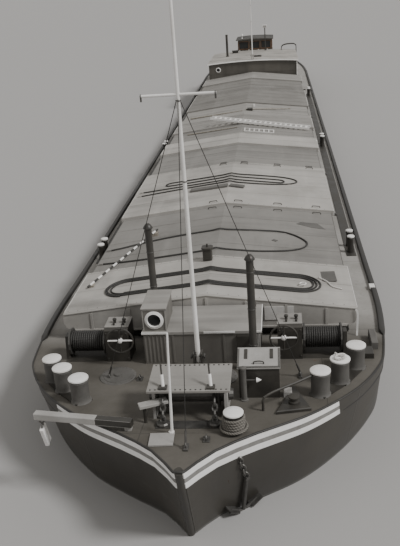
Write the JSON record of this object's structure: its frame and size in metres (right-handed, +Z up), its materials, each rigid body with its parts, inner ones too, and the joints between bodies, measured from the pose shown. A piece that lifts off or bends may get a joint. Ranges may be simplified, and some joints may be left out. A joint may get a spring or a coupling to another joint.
{
  "type": "river barge, 1:2 scale model",
  "caption": "Flat-bottomed towed river barge at half scale, with a long covered hold, low fore cabin, aft deckhouse, wheelhouse, folding masts, winches and a steered rudder.",
  "frame": {"origin": "middle of the flat bottom, below the middle of the overall length", "axes": "+X towards the bow, +Y to port, +Z up"},
  "size_m": [33.4988, 4.144, 5.12],
  "materials": {
    "hull_paint": "weathered dark hull paint with grey-brown decks",
    "rail_paint": "dark paint worn on the edges",
    "coaming_paint": "dark weathered paint",
    "cover_light": "faded grey paint, streaked and dusty",
    "cover_dark": "darker grey paint, streaked and dusty",
    "house_paint": "dark gloss paint, dulled",
    "house_roof": "grey-brown deck paint",
    "wheelhouse_roof": "dark weathered paint",
    "door_wood": "varnished wood, weathered",
    "cabin_paint": "grey-brown paint",
    "fitting_black": "black paint with light caps",
    "light_grey": "light grey paint, dusty",
    "bare_steel": "worn grey steel with light rust",
    "mast_white": "white paint, slightly chalky",
    "wire_rope": "greased wire rope"
  },
  "bodies": {
    "barge": {"anchor_chain_pipes": "bare_steel", "bow_bollards_port": "fitting_black", "bow_bollards_starboard": "fitting_black", "cathead": "light_grey", "companion_hood": "cabin_paint", "deckhouse_back_wall": "house_paint", "deckhouse_front_wall": "house_paint", "deckhouse_port_wall": "house_paint", "deckhouse_roof": "house_roof", "deckhouse_starboard_wall": "house_paint", "fore_cabin_roof": "cabin_paint", "fore_cabin_walls": "cabin_paint", "foremast_shoe": "fitting_black", "gunwale_rail": "rail_paint", "hatch_cover_01": "cover_light", "hatch_cover_02": "cover_dark", "hatch_cover_03": "cover_light", "hatch_cover_04": "cover_dark", "hatch_cover_06": "cover_dark", "hatch_cover_08": "cover_dark", "hatch_cover_10": "cover_dark", "hold_coaming": "coaming_paint", "hull": "hull_paint", "jackstaff": "mast_white", "locker": "fitting_black", "port_anchor": "bare_steel", "port_side_bollards": "fitting_black", "port_winch_frame": "fitting_black", "rope_bollard": "fitting_black", "rub_belt": "rail_paint", "starboard_side_bollards": "fitting_black", "starboard_winch_frame": "fitting_black", "steering_pedestal": "fitting_black", "stern_fittings": "fitting_black", "tow_wire_aft": "wire_rope", "tow_wire_fore": "wire_rope", "tow_wire_middle": "wire_rope", "wheelhouse_back_wall": "house_paint", "wheelhouse_front_wall": "house_paint", "wheelhouse_port_wall": "house_paint", "wheelhouse_roof": "wheelhouse_roof", "wheelhouse_starboard_wall": "house_paint", "windlass_frame": "light_grey"},
    "rudder": {"rudder": "rail_paint"},
    "steering_wheel": {"steering_wheel": "door_wood"},
    "wheelhouse_door": {"wheelhouse_door": "door_wood"},
    "deckhouse_door": {"deckhouse_door": "door_wood"},
    "fore_cabin_door": {"fore_cabin_door": "cabin_paint"},
    "locker_lid": {"locker_lid": "light_grey"},
    "foremast": {"foremast": "mast_white"},
    "deckhouse_mast": {"deckhouse_mast": "mast_white"},
    "windlass_barrel": {"windlass_barrel": "bare_steel"},
    "port_winch_drum": {"port_winch_drum": "bare_steel"},
    "port_hand_wheel": {"port_hand_wheel": "bare_steel"},
    "starboard_winch_drum": {"starboard_winch_drum": "bare_steel"},
    "starboard_hand_wheel": {"starboard_hand_wheel": "bare_steel"},
    "hatch_cover_05": {"hatch_cover_05": "cover_light"},
    "hatch_cover_07": {"hatch_cover_07": "cover_light"},
    "hatch_cover_09": {"hatch_cover_09": "cover_light"},
    "hatch_cover_11": {"hatch_cover_11": "cover_light"}
  },
  "joints": [
    {"name": "rudder_swing", "type": "hinge", "parent": "barge", "child": "rudder", "pos_m": [-15.8, 0, 0.6], "axis": [0, 0, 1], "range_deg": [-60, 60]},
    {"name": "steering_wheel_turn", "type": "hinge", "parent": "barge", "child": "steering_wheel", "pos_m": [-9.735, 0, 1.86157], "axis": [1, 0, 0], "range_deg": [-720, 720]},
    {"name": "wheelhouse_door_swing", "type": "hinge", "parent": "barge", "child": "wheelhouse_door", "pos_m": [-10.532, 0.6773, 1.96], "axis": [0, 0, 1], "range_deg": [0, 100]},
    {"name": "deckhouse_door_swing", "type": "hinge", "parent": "barge", "child": "deckhouse_door", "pos_m": [-9.3023, 1.252, 1.7], "axis": [0, 0, -1], "range_deg": [0, 100]},
    {"name": "fore_cabin_door_swing", "type": "hinge", "parent": "barge", "child": "fore_cabin_door", "pos_m": [14.6423, 0.373, 1.54], "axis": [0, 0, -1], "range_deg": [0, 100]},
    {"name": "locker_lid_lift", "type": "hinge", "parent": "barge", "child": "locker_lid", "pos_m": [15.186, 0.6225, 1.83151], "axis": [0, -1, 0], "range_deg": [0, 100]},
    {"name": "foremast_fold", "type": "hinge", "parent": "barge", "child": "foremast", "pos_m": [15.3, 0.042, 1.82], "axis": [0, -1, 0], "range_deg": [0, 80]},
    {"name": "deckhouse_mast_fold", "type": "hinge", "parent": "barge", "child": "deckhouse_mast", "pos_m": [-5.96, 0, 2.4], "axis": [0, -1, 0], "range_deg": [0, 85]},
    {"name": "windlass_turn", "type": "hinge", "parent": "barge", "child": "windlass_barrel", "pos_m": [15.65, 0, 1.6112], "axis": [0, 1, 0], "continuous": true},
    {"name": "port_winch_turn", "type": "hinge", "parent": "barge", "child": "port_winch_drum", "pos_m": [14.4, 0, 1.54489], "axis": [0, 1, 0], "continuous": true},
    {"name": "port_hand_wheel_turn", "type": "hinge", "parent": "barge", "child": "port_hand_wheel", "pos_m": [14.67, 0.865, 1.67489], "axis": [1, 0, 0], "continuous": true},
    {"name": "starboard_winch_turn", "type": "hinge", "parent": "barge", "child": "starboard_winch_drum", "pos_m": [14.4, 0, 1.54489], "axis": [0, 1, 0], "continuous": true},
    {"name": "starboard_hand_wheel_turn", "type": "hinge", "parent": "barge", "child": "starboard_hand_wheel", "pos_m": [14.67, -0.865, 1.67489], "axis": [1, 0, 0], "continuous": true},
    {"name": "hatch_cover_05_lift", "type": "slide", "parent": "barge", "child": "hatch_cover_05", "axis": [0, 0, 1], "range_m": [0, 0.5]},
    {"name": "hatch_cover_07_lift", "type": "slide", "parent": "barge", "child": "hatch_cover_07", "axis": [0, 0, 1], "range_m": [0, 0.5]},
    {"name": "hatch_cover_09_lift", "type": "slide", "parent": "barge", "child": "hatch_cover_09", "axis": [0, 0, 1], "range_m": [0, 0.5]},
    {"name": "hatch_cover_11_lift", "type": "slide", "parent": "barge", "child": "hatch_cover_11", "axis": [0, 0, 1], "range_m": [0, 0.5]}
  ],
  "couplings": [
    {"joint": "steering_wheel_turn", "follows": "rudder_swing", "ratio": 12},
    {"joint": "port_hand_wheel_turn", "follows": "port_winch_turn", "ratio": 5},
    {"joint": "starboard_hand_wheel_turn", "follows": "starboard_winch_turn", "ratio": 5}
  ]
}
